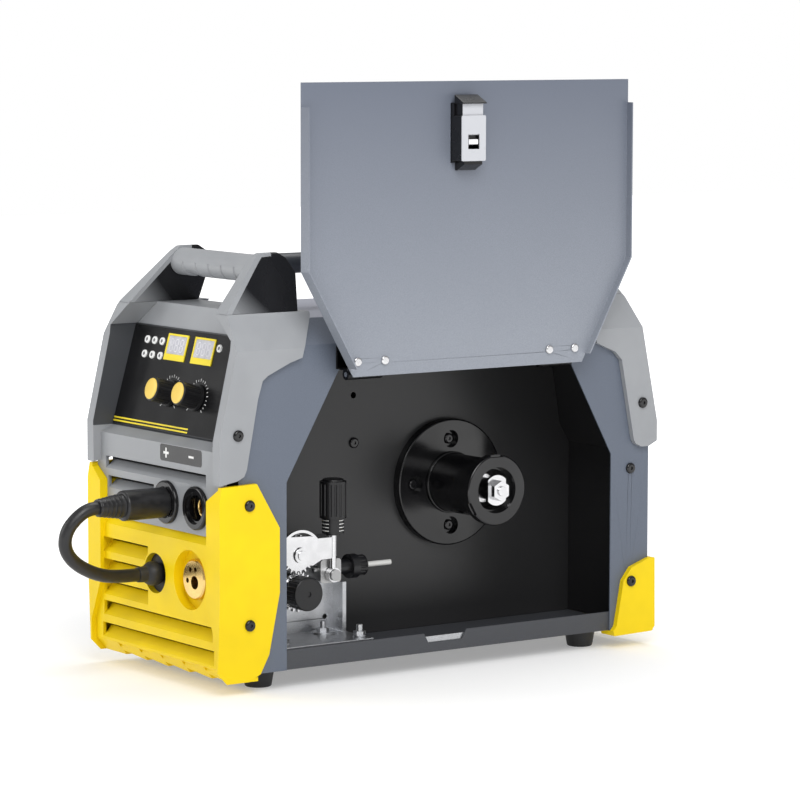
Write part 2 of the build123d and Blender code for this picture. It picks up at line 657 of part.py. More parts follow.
def latch_housing():
    y = LATCH_Y
    case = block((80.8, HALF_WIDTH + 0.1), (y - 11.9, y + 11.9), (46.2, 82.7))
    case = fillet(case.edges().filter_by(Axis.X), 1.2)
    back = block((92, HALF_WIDTH + 0.1), (y - 11.9, y + 11.9), (36.6, 84))
    foot = front_prism([(83, 82), (83, 85.5), (93, 90.4), (95.4, 90.4), (95.4, 82)], y - 8, y + 10)
    flange = block((HALF_WIDTH + 0.05, HALF_WIDTH + 1.6), (y - 15, y + 15), (33, 94))
    body = case + back + foot + flange
    body -= block((82, 91.8), (y - 10.4, y + 10.4), (30, 76))
    body -= block((79, 84), (y - 5.6, y + 5.6), (61.2, 73.1))
    return swung_open(body - block((94.5, 100), (y - 9, y + 9), (44, 80)))


def latch_bolt():
    y = LATCH_Y
    slide = block((82.2, 91.6), (y - 10.2, y + 10.2), (36, 70))
    slide -= block((80, 84), (y - 12, y + 12), (62, 80))
    nose = front_prism([(79, 36.8), (79, 36), (91.6, LATCH_TIP), (91.6, 36.8)], y - 11.6, y + 11.6)
    tab = block((81, 86), (y - 4.5, y + 4.5), (65.3, 69.3))
    return swung_open(slide + nose + tab)


# ---- wire feeder ----
def feeder_bracket():
    base = plan_prism([(34, -176), (92, -176), (92, -72.5), (34, -72.5)], 30, 33)
    legs = block((34, 37), (-176, -86), (17.6, 31)) + block((60, 92), (-176, -173), (17.6, 31))
    plate = block((34, 38), (-176, -76), (32, 112)) + block((34, 52.5), (-76.2, -72.5), (32, 74))
    body = base + legs + plate
    body -= x_rod(30, 45, ROLL_Y, ROLL_Z, 5 + 0.6)
    for y, z in ((-168, 104), (-84, 104), (-168, 44), (-84, 44)):
        body -= x_rod(30, 45, y, z, 2.2)
    body += x_rod(38, 40.3, ARM_PIVOT_Y, PRESS_Z, 8)
    body -= x_rod(30, 45, ARM_PIVOT_Y, PRESS_Z, 4 + RUNNING_FIT)
    outlet = block((37, 58), (-160, -148), (78, 93))
    return body + outlet - y_rod(-165, -140, WIRE_X, WIRE_Z, 5.2)


def feed_motor():
    gearbox = block((12, 33.9), (ROLL_Y - 24, ROLL_Y + 24), (ROLL_Z - 24, ROLL_Z + 26))
    gearbox = fillet(gearbox.edges().filter_by(Axis.X), 4)
    can = x_rod(-76, 12, ROLL_Y, ROLL_Z, 26)
    can = fillet(can.edges().group_by(Axis.X)[0], 3)
    stub = x_rod(-82, -76, ROLL_Y, ROLL_Z, 8)
    return gearbox + can + stub - x_rod(16, 40, ROLL_Y, ROLL_Z, 5 + RUNNING_FIT)


def toothed_wheel(x0, x1, y, z, pitch_radius, teeth, phase):
    """Spur wheel on an X axis with trapezium teeth that keep a little backlash."""
    module = 2 * pitch_radius / teeth
    root, tip = pitch_radius - 1.15 * module, pitch_radius + 0.7 * module
    wheel = x_rod(x0, x1, y, z, root)
    quarter = pi / teeth / 2
    for index in range(teeth):
        middle = phase + 2 * pi * index / teeth
        corners = [(root - 0.4, -1.1), (tip, -0.4), (tip, 0.4), (root - 0.4, 1.1)]
        outline = [(y + r * cos(middle + k * quarter), z + r * sin(middle + k * quarter))
                   for r, k in corners]
        wheel += side_prism(outline, x0, x1)
    return wheel


GEAR_TEETH = 20


def drive_roll():
    body = x_rod(44, 56, ROLL_Y, ROLL_Z, ROLL_RADIUS)
    groove = Pos(WIRE_X, ROLL_Y, ROLL_Z) * Rot(0, 90, 0) * Torus(ROLL_RADIUS + 0.3, 0.8)
    body = body - groove + x_rod(18, 61, ROLL_Y, ROLL_Z, 5)
    return body + toothed_wheel(56, 59.5, ROLL_Y, ROLL_Z, ROLL_RADIUS + 0.2, GEAR_TEETH, pi / 2)


def drive_knob():
    body = x_rod(61, 75, ROLL_Y, ROLL_Z, 13.8)
    body = fillet(body.edges().group_by(Axis.X)[-1], 1.5)
    for index in range(24):
        turn = 2 * pi * index / 24
        body -= x_rod(60, 74, ROLL_Y + 14.4 * cos(turn), ROLL_Z + 14.4 * sin(turn), 1.1)
    return body - x_rod(74, 76, ROLL_Y, ROLL_Z, 2.2)


def pressure_roller():
    body = x_rod(44.5, 55.5, ROLL_Y, PRESS_Z, ROLL_RADIUS) + x_rod(55, 57, ROLL_Y, PRESS_Z, 11)
    phase = -pi / 2 + pi / GEAR_TEETH
    body += toothed_wheel(56.4, 59.5, ROLL_Y, PRESS_Z, ROLL_RADIUS + 0.2, GEAR_TEETH, phase)
    return body - x_rod(40, 62, ROLL_Y, PRESS_Z, 4 + RUNNING_FIT)


def arm_plate(x0, x1):
    outline = [(ARM_PIVOT_Y - 7, 108), (ARM_PIVOT_Y - 7, 96.5), (-140, 94), (-112, 92), (-104, 96),
               (-84, 96.5), (-84, 113.6), (-108, 113.6), (-114, 116), (-140, 117)]
    plate = side_prism(outline, x0, x1)
    return fillet(plate.edges().filter_by(Axis.X), 3)


def pressure_arm():
    body = arm_plate(40.6, 43.4) + arm_plate(60.3, 63)
    bridge = block((43, 61), (-107.5, -84), (96.6, 113.6))
    slot = block((TENSION_X - 4, TENSION_X + 4.1), (TENSION_Y - 3.8, -80), (90, 120))
    body = body + bridge - slot
    body += x_rod(43, 61, ROLL_Y, PRESS_Z, 4) + x_rod(60, 66, ROLL_Y, PRESS_Z, 4)
    body += x_rod(64, 65, ROLL_Y, PRESS_Z, 6.4) + x_rod(34.4, 66, ARM_PIVOT_Y, PRESS_Z, 4)
    guard = x_rod(60.3, 63, ROLL_Y, PRESS_Z, 20.6) - x_rod(60, 64, ROLL_Y, PRESS_Z, 18.4)
    return body + (guard & block((55, 70), (-150, -100), (PRESS_Z + 6, 130)))


def wire_inlet_guide():
    block_body = block((38, 56), (-100, -80), (75, 94.5))
    block_body = fillet(block_body.edges().filter_by(Axis.X), 2.5)
    body = block_body + y_rod(-104, -99, WIRE_X, WIRE_Z, 3)
    body += y_rod(-80, -69.5, WIRE_X, WIRE_Z, 6) + y_rod(-69.5, -62.5, WIRE_X, WIRE_Z, 10)
    body += y_rod(-62.5, -54.6, WIRE_X, WIRE_Z, 8.6)
    for index in range(12):
        turn = 2 * pi * index / 12
        body -= y_rod(-61.5, -55.6, WIRE_X + 9 * cos(turn), WIRE_Z + 9 * sin(turn), 1.2)
    body += y_rod(-54.6, -27, WIRE_X, WIRE_Z, 2.2)
    body -= y_rod(-105, -20, WIRE_X, WIRE_Z, 1.1)
    return body + x_rod(56, 64, TENSION_Y, TENSION_PIVOT_Z, 3) + x_rod(62.4, 64, TENSION_Y, TENSION_PIVOT_Z, 4.6)


def feeder_bolts():
    bolts = []
    for x, y, washer in ((50, -94, 9.5), (80, -78.2, 5.4), (50, -150, 6), (76, -150, 6)):
        bolt = hex_bar((x, y, 33.05), (x, y, 37.6), 9) + z_rod(33.05, 43, x, y, 2.6)
        bolts.append(bolt + z_rod(33.05, 34.4, x, y, washer))
    return group(bolts)


def tension_rod():
    eye = x_rod(56.6, 61.8, TENSION_Y, TENSION_PIVOT_Z, 6) - x_rod(50, 70, TENSION_Y, TENSION_PIVOT_Z, 3 + RUNNING_FIT)
    shank = z_rod(TENSION_PIVOT_Z + 5, 150, TENSION_X, TENSION_Y, 2.6)
    return eye + shank


def tension_knob():
    body = z_rod(116.5, 161, TENSION_X, TENSION_Y, 9)
    body += z_rod(129, 159, TENSION_X, TENSION_Y, 11)
    body = fillet(body.edges().group_by(Axis.Z)[-1], 1.5)
    for index in range(16):
        turn = 2 * pi * index / 16
        body -= z_rod(131, 157, TENSION_X + 11.4 * cos(turn), TENSION_Y + 11.4 * sin(turn), 1.1)
    body += z_rod(115, 117, TENSION_X, TENSION_Y, 6)
    return body - z_rod(110, 151, TENSION_X, TENSION_Y, 2.6 + RUNNING_FIT)


# ---- spool hub ----
def hub_screw_centres():
    return [(HUB_Y + HUB_SCREW_CIRCLE * cos(pi * k / 2), HUB_Z + HUB_SCREW_CIRCLE * sin(pi * k / 2))
            for k in range(4)]


def hub_base():
    body = x_rod(PARTITION_X, 6, HUB_Y, HUB_Z, 54)
    body = fillet(body.edges().group_by(Axis.X)[-1], 1.5)
    body = body - x_rod(4.6, 7, HUB_Y, HUB_Z, 26.5) - x_rod(-5, 10, HUB_Y, HUB_Z, 4.2)
    for y, z in hub_screw_centres():
        body = body - x_rod(1.5, 7, y, z, 7.5) - x_rod(-5, 7, y, z, 2.2)
    return body


def hub_barrel():
    body = x_rod(4.9, 6 + HUB_LENGTH, HUB_Y, HUB_Z, HUB_RADIUS) + x_rod(4.9, 8.6, HUB_Y, HUB_Z, 26.2)
    body -= x_rod(50, 6 + HUB_LENGTH + 1, HUB_Y, HUB_Z, 19.5)
    return body - x_rod(0, 80, HUB_Y, HUB_Z, 4 + RUNNING_FIT)


def hub_lock_ring():
    start = 6 + HUB_LENGTH + 0.3
    ring = x_rod(start, start + 7, HUB_Y, HUB_Z, 29.8)
    ring = fillet(ring.edges().group_by(Axis.X)[-1], 1.6)
    ring -= x_rod(start - 1, start + 8, HUB_Y, HUB_Z, 19.4)
    collar = x_rod(51, start + 0.5, HUB_Y, HUB_Z, 19.4) - x_rod(50, start + 1, HUB_Y, HUB_Z, 17.2)
    for index in range(3):
        ear = Rot(90 + 120 * index, 0, 0)
        notch = Pos(0, HUB_Y, HUB_Z) * ear * block((start + 5, start + 9), (27.5, 33), (-6, 6))
        ring -= notch
    return ring + collar


def hub_axle():
    body = x_rod(-12, 79.5, HUB_Y, HUB_Z, 4) + hex_bar((-10, HUB_Y, HUB_Z), (-3.6, HUB_Y, HUB_Z), 13)
    body += x_rod(50.2, 53, HUB_Y, HUB_Z, 12) + x_rod(53, 68.1, HUB_Y, HUB_Z, 9)
    flats = block((68, 71.5), (HUB_Y - 9.2, HUB_Y + 9.2), (HUB_Z - 15, HUB_Z + 15))
    body += x_rod(68, 71.5, HUB_Y, HUB_Z, 12.8) & flats
    return body + hex_bar((71.5, HUB_Y, HUB_Z), (78, HUB_Y, HUB_Z), 15)


# ---- screws ----
def dome_screw(x, y, z, shank):
    """Black dome-head screw on the +X side, its head standing on the plane x."""
    head = x_rod(x + 0.05, x + 2.3, y, z, 4.6)
    head = fillet(head.edges().group_by(Axis.X)[-1], 1.7)
    socket = hex_bar((x + 1.2, y, z), (x + 3, y, z), 2.6)
    return head + x_rod(x - shank, x + 0.1, y, z, 2.1) - socket


def case_screws():
    near = [dome_screw(x, y, z, x - 95.4) for y, z, x in SIDE_SCREWS]
    far = [mirror(screw, about=Plane.YZ) for screw in near]
    inner = [dome_screw(PARTITION_X, *PARTITION_SCREW, 6)]
    inner += [dome_screw(1.5, y, z, 9) for y, z in hub_screw_centres()]
    feet = [z_rod(3, 19, x, y, 2.1) + z_rod(2.9, 5.8, x, y, 4.2) for x, y in FOOT_XY]
    return group(near + far + inner + feet)


# ---- power electronics ----
def main_board():
    return block((-93, -6), (-80, 150), (150, 151.6))


def heat_sinks():
    sinks = []
    for y0, y1 in ((-70, 28), (34, 140)):
        sink = block((-88, -16), (y0, y1), (140, 146))
        for index in range(9):
            x = -87 + 8.6 * index
            sink += block((x, x + 2), (y0, y1), (108, 141))
        sinks.append(sink)
    return group(sinks)


def transformer():
    core = block((-84, -24), (40, 110), (22, 78))
    core -= block((-72, -36), (30, 120), (34, 66))
    winding = block((-71.8, -36.2), (34, 116), (34.2, 65.8))
    winding = fillet(winding.edges().filter_by(Axis.Y), 6)
    return group([core + block((-84, -24), (44, 106), (17.6, 22.1)), winding])


def capacitors():
    cans = [z_rod(151.7, 196, x, y, 14) for x in (-74, -30) for y in (-50, -12, 40, 90)]
    return group([chamfer(can.edges().group_by(Axis.Z)[-1], 1.5) for can in cans])


def fan_frame():
    half = FAN_RADIUS + 2
    frame = block((FAN_X - half, FAN_X + half), (170, 195), (FAN_Z - half, FAN_Z + half))
    frame -= y_rod(169, 196, FAN_X, FAN_Z, FAN_RADIUS)
    hub = y_rod(170, 175, FAN_X, FAN_Z, 18)
    for turn in range(4):
        strut = Pos(FAN_X, 172.5, FAN_Z) * Rot(0, 45 + 90 * turn, 0) * Pos(28, 0, 0) * Box(24, 4.8, 4)
        hub += strut
    return frame + hub - y_rod(168, 176, FAN_X, FAN_Z, 2 + RUNNING_FIT)


def fan_rotor():
    hub = y_rod(176, 193, FAN_X, FAN_Z, 17) + y_rod(170.5, 177, FAN_X, FAN_Z, 2)
    blade = Pos(26.3, 0, 0) * Rot(35, 0, 0) * Box(20, 1.8, 19)
    for index in range(7):
        hub += Pos(FAN_X, 184.5, FAN_Z) * Rot(0, 360 * index / 7, 0) * blade
    return hub


def mains_switch():
    x, z = SWITCH_X, SWITCH_Z
    body = block((x - 13.6, x + 13.6), (182, 201.6), (z - 11.6, z + 11.6))
    bezel = block((x - 15.5, x + 15.5), (201.55, 204), (z - 13, z + 13))
    bezel = fillet(bezel.edges().filter_by(Axis.Y), 2)
    cavity = block((x - 10.4, x + 10.4), (188, 206), (z - 9, z + 9))
    return body + bezel - cavity - x_rod(x - 12.6, x + 12.6, 199, z, 1.5 + RUNNING_FIT)


def switch_rocker():
    x, z = SWITCH_X, SWITCH_Z
    outline = [(198.0, z - 8.4), (206.4, z - 8.2), (203.6, z), (206.4, z + 8.2), (198.0, z + 8.4),
               (192, z + 4), (192, z - 4)]
    rocker = side_prism(outline, x - 9.8, x + 9.8) + x_rod(x - 12.3, x + 12.3, 199, z, 1.5)
    return rocker.rotate(Axis((x, 199, z), (1, 0, 0)), -7)


def mains_gland():
    x, z = GLAND_X, GLAND_Z
    body = y_rod(185, 210, x, z, 10) + hex_bar((x, 201.6, z), (x, 207, z), 24)
    body += hex_bar((x, 193, z), (x, 199.6, z), 24) + cone((x, 207, z), (x, 218, z), 11, 8.5)
    return body - y_rod(180, 220, x, z, 5.5)


def gas_valve():
    x, z = GAS_X, GAS_Z
    body = block((x - 12, x + 12), (166, 186), (z - 12, z + 10)) + z_rod(z + 10, z + 17, x, 176, 8)
    body += y_rod(186, 204, x, z, 6) + hex_bar((x, 201.6, z), (x, 206, z), 17)
    barb = y_rod(206, 222, x, z, 4)
    for index in range(3):
        barb += cone((x, 209 + 4 * index, z), (x, 212.5 + 4 * index, z), 4.8, 4)
    return body + barb - y_rod(180, 223, x, z, 2.2)


os.makedirs("parts", exist_ok=True)
for make in (base_pan, latch_strike, casing_cover, rubber_feet, front_bulkhead, rear_panel,
             partition_wall, front_fascia, lower_fascia, rear_fascia, rear_bumper, front_handle,
             front_handle_back, rear_handle, handle_tube, control_panel, display_frames,
             display_windows, indicator_lenses, control_board, euro_connector, lead_grommet,
             polarity_lead, polarity_plug, door_panel, hinge_door_leaves, hinge_case_leaves,
             hinge_pins, door_screws, latch_housing, latch_bolt, feeder_bracket, feed_motor,
             drive_roll, drive_knob, pressure_roller, pressure_arm, wire_inlet_guide, feeder_bolts,
             tension_rod, tension_knob, hub_base, hub_barrel, hub_lock_ring, hub_axle, case_screws,
             main_board, heat_sinks, transformer, capacitors, fan_frame, fan_rotor, mains_switch,
             switch_rocker, mains_gland, gas_valve):
    save(make.__name__, make())
save("voltage_knob", adjusting_knob(KNOB_X[0]))
save("current_knob", adjusting_knob(KNOB_X[1]))
save("positive_socket", weld_socket(SOCKET_X[0]))
save("negative_socket", weld_socket(SOCKET_X[1]))
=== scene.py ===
import json
from math import cos, pi, radians, sin

import bmesh
import bpy
from mathutils import Matrix, Vector


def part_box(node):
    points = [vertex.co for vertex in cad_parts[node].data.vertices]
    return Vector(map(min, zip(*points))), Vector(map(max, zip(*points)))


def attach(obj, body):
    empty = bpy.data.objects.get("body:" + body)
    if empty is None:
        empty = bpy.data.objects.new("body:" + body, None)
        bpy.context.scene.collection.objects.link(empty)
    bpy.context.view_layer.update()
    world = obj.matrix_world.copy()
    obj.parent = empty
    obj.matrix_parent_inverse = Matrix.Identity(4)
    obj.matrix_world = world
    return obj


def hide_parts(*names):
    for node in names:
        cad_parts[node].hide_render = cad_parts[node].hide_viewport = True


# Looks of a compact MIG/MAG welding machine with a built-in wire feeder, its side door open.
# Everything is in metres, in the CAD frame: +X is the door side, -Y the front, +Z up.

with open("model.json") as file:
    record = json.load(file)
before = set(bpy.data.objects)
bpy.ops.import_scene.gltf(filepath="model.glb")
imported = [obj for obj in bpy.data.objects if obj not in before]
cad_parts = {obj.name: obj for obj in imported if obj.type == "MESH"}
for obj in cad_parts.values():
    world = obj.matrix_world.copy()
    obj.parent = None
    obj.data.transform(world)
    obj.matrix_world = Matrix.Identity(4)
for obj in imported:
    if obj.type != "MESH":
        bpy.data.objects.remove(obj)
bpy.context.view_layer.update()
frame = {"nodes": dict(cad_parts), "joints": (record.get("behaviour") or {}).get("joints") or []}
nodes = frame["nodes"]
joints = {joint["name"]: joint for joint in frame["joints"]}
MM = 0.001
PLACE = Vector((-15, 8, 0)) * MM     # from the drawing's origin to the saved one


# ---- camera and polarity lead ----
def make_camera():
    data = bpy.data.cameras.new("camera")
    data.sensor_width = 36.0
    data.lens = 160.2
    data.clip_end = 50.0
    camera = bpy.data.objects.new("camera", data)
    bpy.context.scene.collection.objects.link(camera)
    turn = Matrix.Rotation(radians(54.81), 4, "Z") @ Matrix.Rotation(radians(90 - 6.12), 4, "X")
    turn = turn @ Matrix.Rotation(radians(0.09), 4, "Z")
    camera.matrix_world = Matrix.Translation(Vector((2.43374, -1.69808, 0.53259)) + PLACE) @ turn
    bpy.context.scene.camera = camera


LEAD_DIAMETER = 10.8 * MM
LEAD_ROUTE = [(-3.0, -238.0, 87.0), (-3.0, -253.0, 87.0), (0.2, -273.0, 89.6), (2.6, -291.0, 97.0),
              (5.0, -304.5, 106.5), (7.6, -311.5, 118.0), (9.6, -310.0, 130.5), (11.4, -301.5, 140.5),
              (12.5, -291.5, 146.5), (12.5, -284.0, 146.5)]


def make_lead():
    curve = bpy.data.curves.new("lead", "CURVE")
    curve.dimensions = "3D"
    curve.resolution_u = 12
    curve.bevel_depth = 1.0     # times each point's radius
    curve.bevel_resolution = 8
    curve.use_fill_caps = True
    spline = curve.splines.new("NURBS")
    spline.points.add(len(LEAD_ROUTE) - 1)
    for point, place in zip(spline.points, LEAD_ROUTE):
        point.co = (*(Vector(place) * MM + PLACE), 1.0)
        point.radius = LEAD_DIAMETER / 2
    spline.order_u = 3
    spline.use_endpoint_u = True
    lead = bpy.data.objects.new("lead", curve)
    bpy.context.scene.collection.objects.link(lead)
    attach(lead, "chassis")
    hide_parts("polarity_lead")
    return lead


make_camera()
lead = make_lead()


# ---- materials ----
class Finish:
    """One procedural material: a Principled shader and the textures that feed it, in metres."""

    def __init__(self, name, colour, roughness, **sockets):
        self.material = bpy.data.materials.new(name)
        self.material.use_nodes = True
        self.tree = self.material.node_tree
        self.shader = self.tree.nodes["Principled BSDF"]
        self.shader.inputs["Base Color"].default_value = (*colour, 1)
        self.shader.inputs["Roughness"].default_value = roughness
        for socket, value in sockets.items():
            self.shader.inputs[socket.replace("_", " ")].default_value = value
        self.place = self.tree.nodes.new("ShaderNodeTexCoord").outputs["Object"]

    def join(self, output, target):
        self.tree.links.new(output, target)

    def feed(self, node, socket, value):
        if isinstance(value, bpy.types.NodeSocket):
            self.join(value, node.inputs[socket])
        else:
            node.inputs[socket].default_value = value

    def noise(self, grain, detail=2.0, stretch=(1, 1, 1)):
        """Noise with features about grain millimetres across."""
        place = self.tree.nodes.new("ShaderNodeMapping")
        self.join(self.place, place.inputs["Vector"])
        place.inputs["Scale"].default_value = stretch
        noise = self.tree.nodes.new("ShaderNodeTexNoise")
        noise.inputs["Scale"].default_value = 1 / (grain * MM)
        noise.inputs["Detail"].default_value = detail
        self.join(place.outputs["Vector"], noise.inputs["Vector"])
        return noise.outputs["Fac"]

    def span(self, value, low, high, start, end):
        """Value between low and high mapped onto start to end, held at both ends."""
        node = self.tree.nodes.new("ShaderNodeMapRange")
        for socket, number in zip(("Value", "From Min", "From Max", "To Min", "To Max"),
                                  (value, low, high, start, end)):
            self.feed(node, socket, number)
        return node.outputs["Result"]

    def math(self, operation, first, second=0.0):
        node = self.tree.nodes.new("ShaderNodeMath")
        node.operation = operation
        self.feed(node, 0, first)
        self.feed(node, 1, second)
        return node.outputs["Value"]

    def axis(self, name):
        """Position along X, Y or Z from the drawing's origin, in metres."""
        node = self.tree.nodes.new("ShaderNodeSeparateXYZ")
        self.join(self.place, node.inputs["Vector"])
        return self.math("SUBTRACT", node.outputs[name], PLACE["XYZ".index(name)])

    def inside(self, *limits):
        """1 where every (axis, low, high) limit in millimetres holds, 0 elsewhere."""
        mask = 1.0
        for name, low, high in limits:
            value = self.axis(name)
            above = self.math("GREATER_THAN", value, low * MM)
            within = self.math("MULTIPLY", above, self.math("LESS_THAN", value, high * MM))
            mask = self.math("MULTIPLY", mask, within)
        return mask

    def tint(self, mask, colour):
        """Paints colour over what the shader has where mask is 1."""
        link = self.shader.inputs["Base Color"].links[0]
        self.colour(self.blend(mask, link.from_socket, colour))

    def blend(self, factor, first, second):
        """Colour between first and second."""
        node = self.tree.nodes.new("ShaderNodeMix")
        node.data_type = "RGBA"
        self.feed(node, "Factor", factor)
        for socket, value in (("A", first), ("B", second)):
            target = [entry for entry in node.inputs if entry.name == socket and entry.type == "RGBA"][0]
            if isinstance(value, bpy.types.NodeSocket):
                self.join(value, target)
            else:
                target.default_value = (*value, 1)
        return [entry for entry in node.outputs if entry.type == "RGBA"][0]

    def colour(self, value):
        self.join(value, self.shader.inputs["Base Color"])

    def roughness(self, value):
        self.join(value, self.shader.inputs["Roughness"])

    def bump(self, height, depth, strength=1.0):
        """Raises the surface by up to depth millimetres."""
        node = self.tree.nodes.new("ShaderNodeBump")
        node.inputs["Strength"].default_value = strength
        node.inputs["Distance"].default_value = depth * MM
        self.join(height, node.inputs["Height"])
        self.join(node.outputs["Normal"], self.shader.inputs["Normal"])


def shade(colour, factor):
    return tuple(channel * factor for channel in colour)


def powder_coat(name, colour, roughness, speckle=0.22, depth=0.05):
    """Textured powder coat: a fine pebbled skin that sparkles a little."""
    finish = Finish(name, colour, roughness)
    grain = finish.noise(0.55, 3.0)
    broad = finish.noise(60.0, 2.0)
    tone = finish.span(grain, 0.3, 0.7, 0.0, 1.0)
    fine = finish.blend(tone, shade(colour, 1 - speckle), shade(colour, 1 + speckle))
    finish.colour(finish.blend(finish.span(broad, 0.35, 0.65, 0.0, 0.10), fine, shade(colour, 0.8)))
    finish.roughness(finish.span(grain, 0.3, 0.7, roughness - 0.06, roughness + 0.08))
    finish.bump(grain, depth)
    return finish


def moulded_plastic(name, colour, roughness, grain=0.5, depth=0.012, **sockets):
    """Injection-moulded plastic: spark-eroded grain and slow flow marks."""
    finish = Finish(name, colour, roughness, **sockets)
    fine = finish.noise(grain, 2.0)
    flow = finish.noise(35.0, 2.0)
    drift = finish.span(flow, 0.35, 0.65, 0.0, 1.0)
    finish.colour(finish.blend(drift, shade(colour, 0.96), shade(colour, 1.03)))
    finish.roughness(finish.span(flow, 0.35, 0.65, roughness - 0.04, roughness + 0.05))
    finish.bump(fine, depth)
    return finish


def soft_rubber(name, colour=(0.012, 0.012, 0.013), roughness=0.5):
    """Moulded rubber with a dusty bloom."""
    finish = Finish(name, colour, roughness)
    bloom = finish.noise(6.0, 4.0)
    finish.colour(finish.blend(finish.span(bloom, 0.45, 0.75, 0.0, 0.35), colour, shade(colour, 2.2)))
    finish.roughness(finish.span(bloom, 0.35, 0.7, roughness - 0.06, roughness + 0.12))
    finish.bump(finish.noise(0.4, 2.0), 0.02)
    return finish


def plated_metal(name, colour, roughness, grain=0.7, depth=0.01, mottle=0.12, stretch=(1, 1, 1)):
    """Plated or turned metal with faint marks, drawn out along the machining."""
    finish = Finish(name, colour, roughness, Metallic=1.0)
    marks = finish.noise(grain, 3.0, stretch)
    cloud = finish.noise(9.0, 3.0)
    finish.colour(finish.blend(finish.span(cloud, 0.35, 0.7, 0.0, 1.0), shade(colour, 1 - mottle), colour))
    finish.roughness(finish.span(marks, 0.3, 0.7, max(roughness - 0.08, 0.04), roughness + 0.1))
    finish.bump(marks, depth)
    return finish


CASING_BLUE = (0.115, 0.135, 0.175)
TRIM_GREY = (0.29, 0.30, 0.315)
TRIM_YELLOW = (0.86, 0.62, 0.002)
BLACK = (0.006, 0.006, 0.007)


def trim_plastic():
    """Grey trim, with painted shade: darker on the inner faces of the side cheeks beside the panel, where
    the recess falls in shade.
    """
    finish = moulded_plastic("grey_plastic", TRIM_GREY, 0.36)
    # Painted shade: the cheeks' inner faces beside the panel are darkened as if shaded by the recess.
    recess_shade = finish.inside(("X", -92.4, 92.4), ("Y", -260, -150), ("Z", 199, 282))
    finish.tint(recess_shade, (0.055, 0.058, 0.064))
    return finish


def casing_paint():
    """Blue-grey powder coat, with a painted highlight: paler on the flat top under the handles, as if lit
    from above.
    """
    finish = powder_coat("casing", CASING_BLUE, 0.50)
    # Painted highlight: the flat top is painted paler where light falls on it from above.
    finish.tint(finish.inside(("X", -81, 81), ("Y", -300, 300), ("Z", 295, 296)), (0.34, 0.35, 0.41))
    return finish


def door_paint():
    """Blue-grey powder coat that catches more light lower down the open door."""
    finish = powder_coat("door", (0.25, 0.27, 0.31), 0.42)
    height = finish.span(finish.axis("Z"), 270 * MM, 480 * MM, 0.0, 1.0)
    link = finish.shader.inputs["Base Color"].links[0]
    finish.colour(finish.blend(height, link.from_socket, (0.125, 0.142, 0.182)))
    return finish


def post_plastic():
    """Black back shell of the handle posts, with a painted reflection: fading to grey at its lower front
    corner.
    """
    finish = moulded_plastic("post", shade(BLACK, 1.2), 0.24, 0.5, 0.008)
    # Painted reflection: a grey glow at the lower front corner stands in for a softbox reflected in the
    # black plastic.
    reflection_reach = finish.math("ADD", finish.math("ADD", finish.axis("Y"), 206 * MM),
                         finish.math("MULTIPLY", finish.math("SUBTRACT", finish.axis("Z"), 301 * MM), 0.9))
    finish.tint(finish.span(reflection_reach, 2 * MM, 42 * MM, 0.85, 0.0), TRIM_GREY)
    return finish


LATCH_BEYOND = 140              # past the latch's outer face
TAB_TOP = 437


def latch_plastic(name, front, low, high, tab_front):
    """Black latch part, pale grey where it faces out beyond front, with a white thumb tab; the black is
    partly its own colour and partly painted shade on its sides.
    """
    # Painted shade: the black on the latch's sides stands in for the shadow they lie in; the hood's black
    # is its own colour.
    finish = moulded_plastic(name, BLACK, 0.3)
    finish.tint(finish.inside(("X", front, LATCH_BEYOND), ("Z", low, high)), (0.50, 0.51, 0.54))
    finish.tint(finish.inside(("X", tab_front, LATCH_BEYOND), ("Z", low, TAB_TOP)), (0.82, 0.82, 0.84))
    return finish


def socket_plastic():
    """Gloss black socket with a brass bore."""
    finish = moulded_plastic("socket", shade(BLACK, 0.8), 0.16, 0.6, 0.004)
    across = finish.math("SUBTRACT", finish.axis("X"), 57.5 * MM)
    up = finish.math("SUBTRACT", finish.axis("Z"), 146.5 * MM)
    reach = finish.math("SQRT", finish.math("ADD", finish.math("MULTIPLY", across, across),
                                            finish.math("MULTIPLY", up, up)))
    deep = finish.inside(("Y", -214, -190))
    bore = finish.math("MULTIPLY", finish.math("LESS_THAN", reach, 7.0 * MM), deep)
    finish.tint(bore, (0.80, 0.50, 0.16))
    finish.join(bore, finish.shader.inputs["Metallic"])
    return finish


def window_print():
    """Display filter: pale and slightly cloudy, under a clear coat."""
    colour = (0.55, 0.55, 0.60)
    finish = Finish("display_glass", colour, 0.18, Coat_Weight=0.5, Coat_Roughness=0.05)
    cloud = finish.noise(4.0, 2.0)
    tone = finish.span(cloud, 0.3, 0.7, 0.0, 1.0)
    finish.colour(finish.blend(tone, shade(colour, 0.86), shade(colour, 1.1)))
    return finish


def circuit_board():
    """Green board with blocks of copper tracks under the lacquer."""
    colour = (0.012, 0.10, 0.035)
    finish = Finish("board", colour, 0.4, Coat_Weight=0.4, Coat_Roughness=0.2)
    bricks = finish.tree.nodes.new("ShaderNodeTexBrick")
    finish.join(finish.place, bricks.inputs["Vector"])
    bricks.inputs["Scale"].default_value = 90.0
    tracks = finish.span(bricks.outputs["Fac"], 0.4, 0.6, 0.0, 1.0)
    finish.colour(finish.blend(tracks, colour, (0.05, 0.22, 0.07)))
    return finish


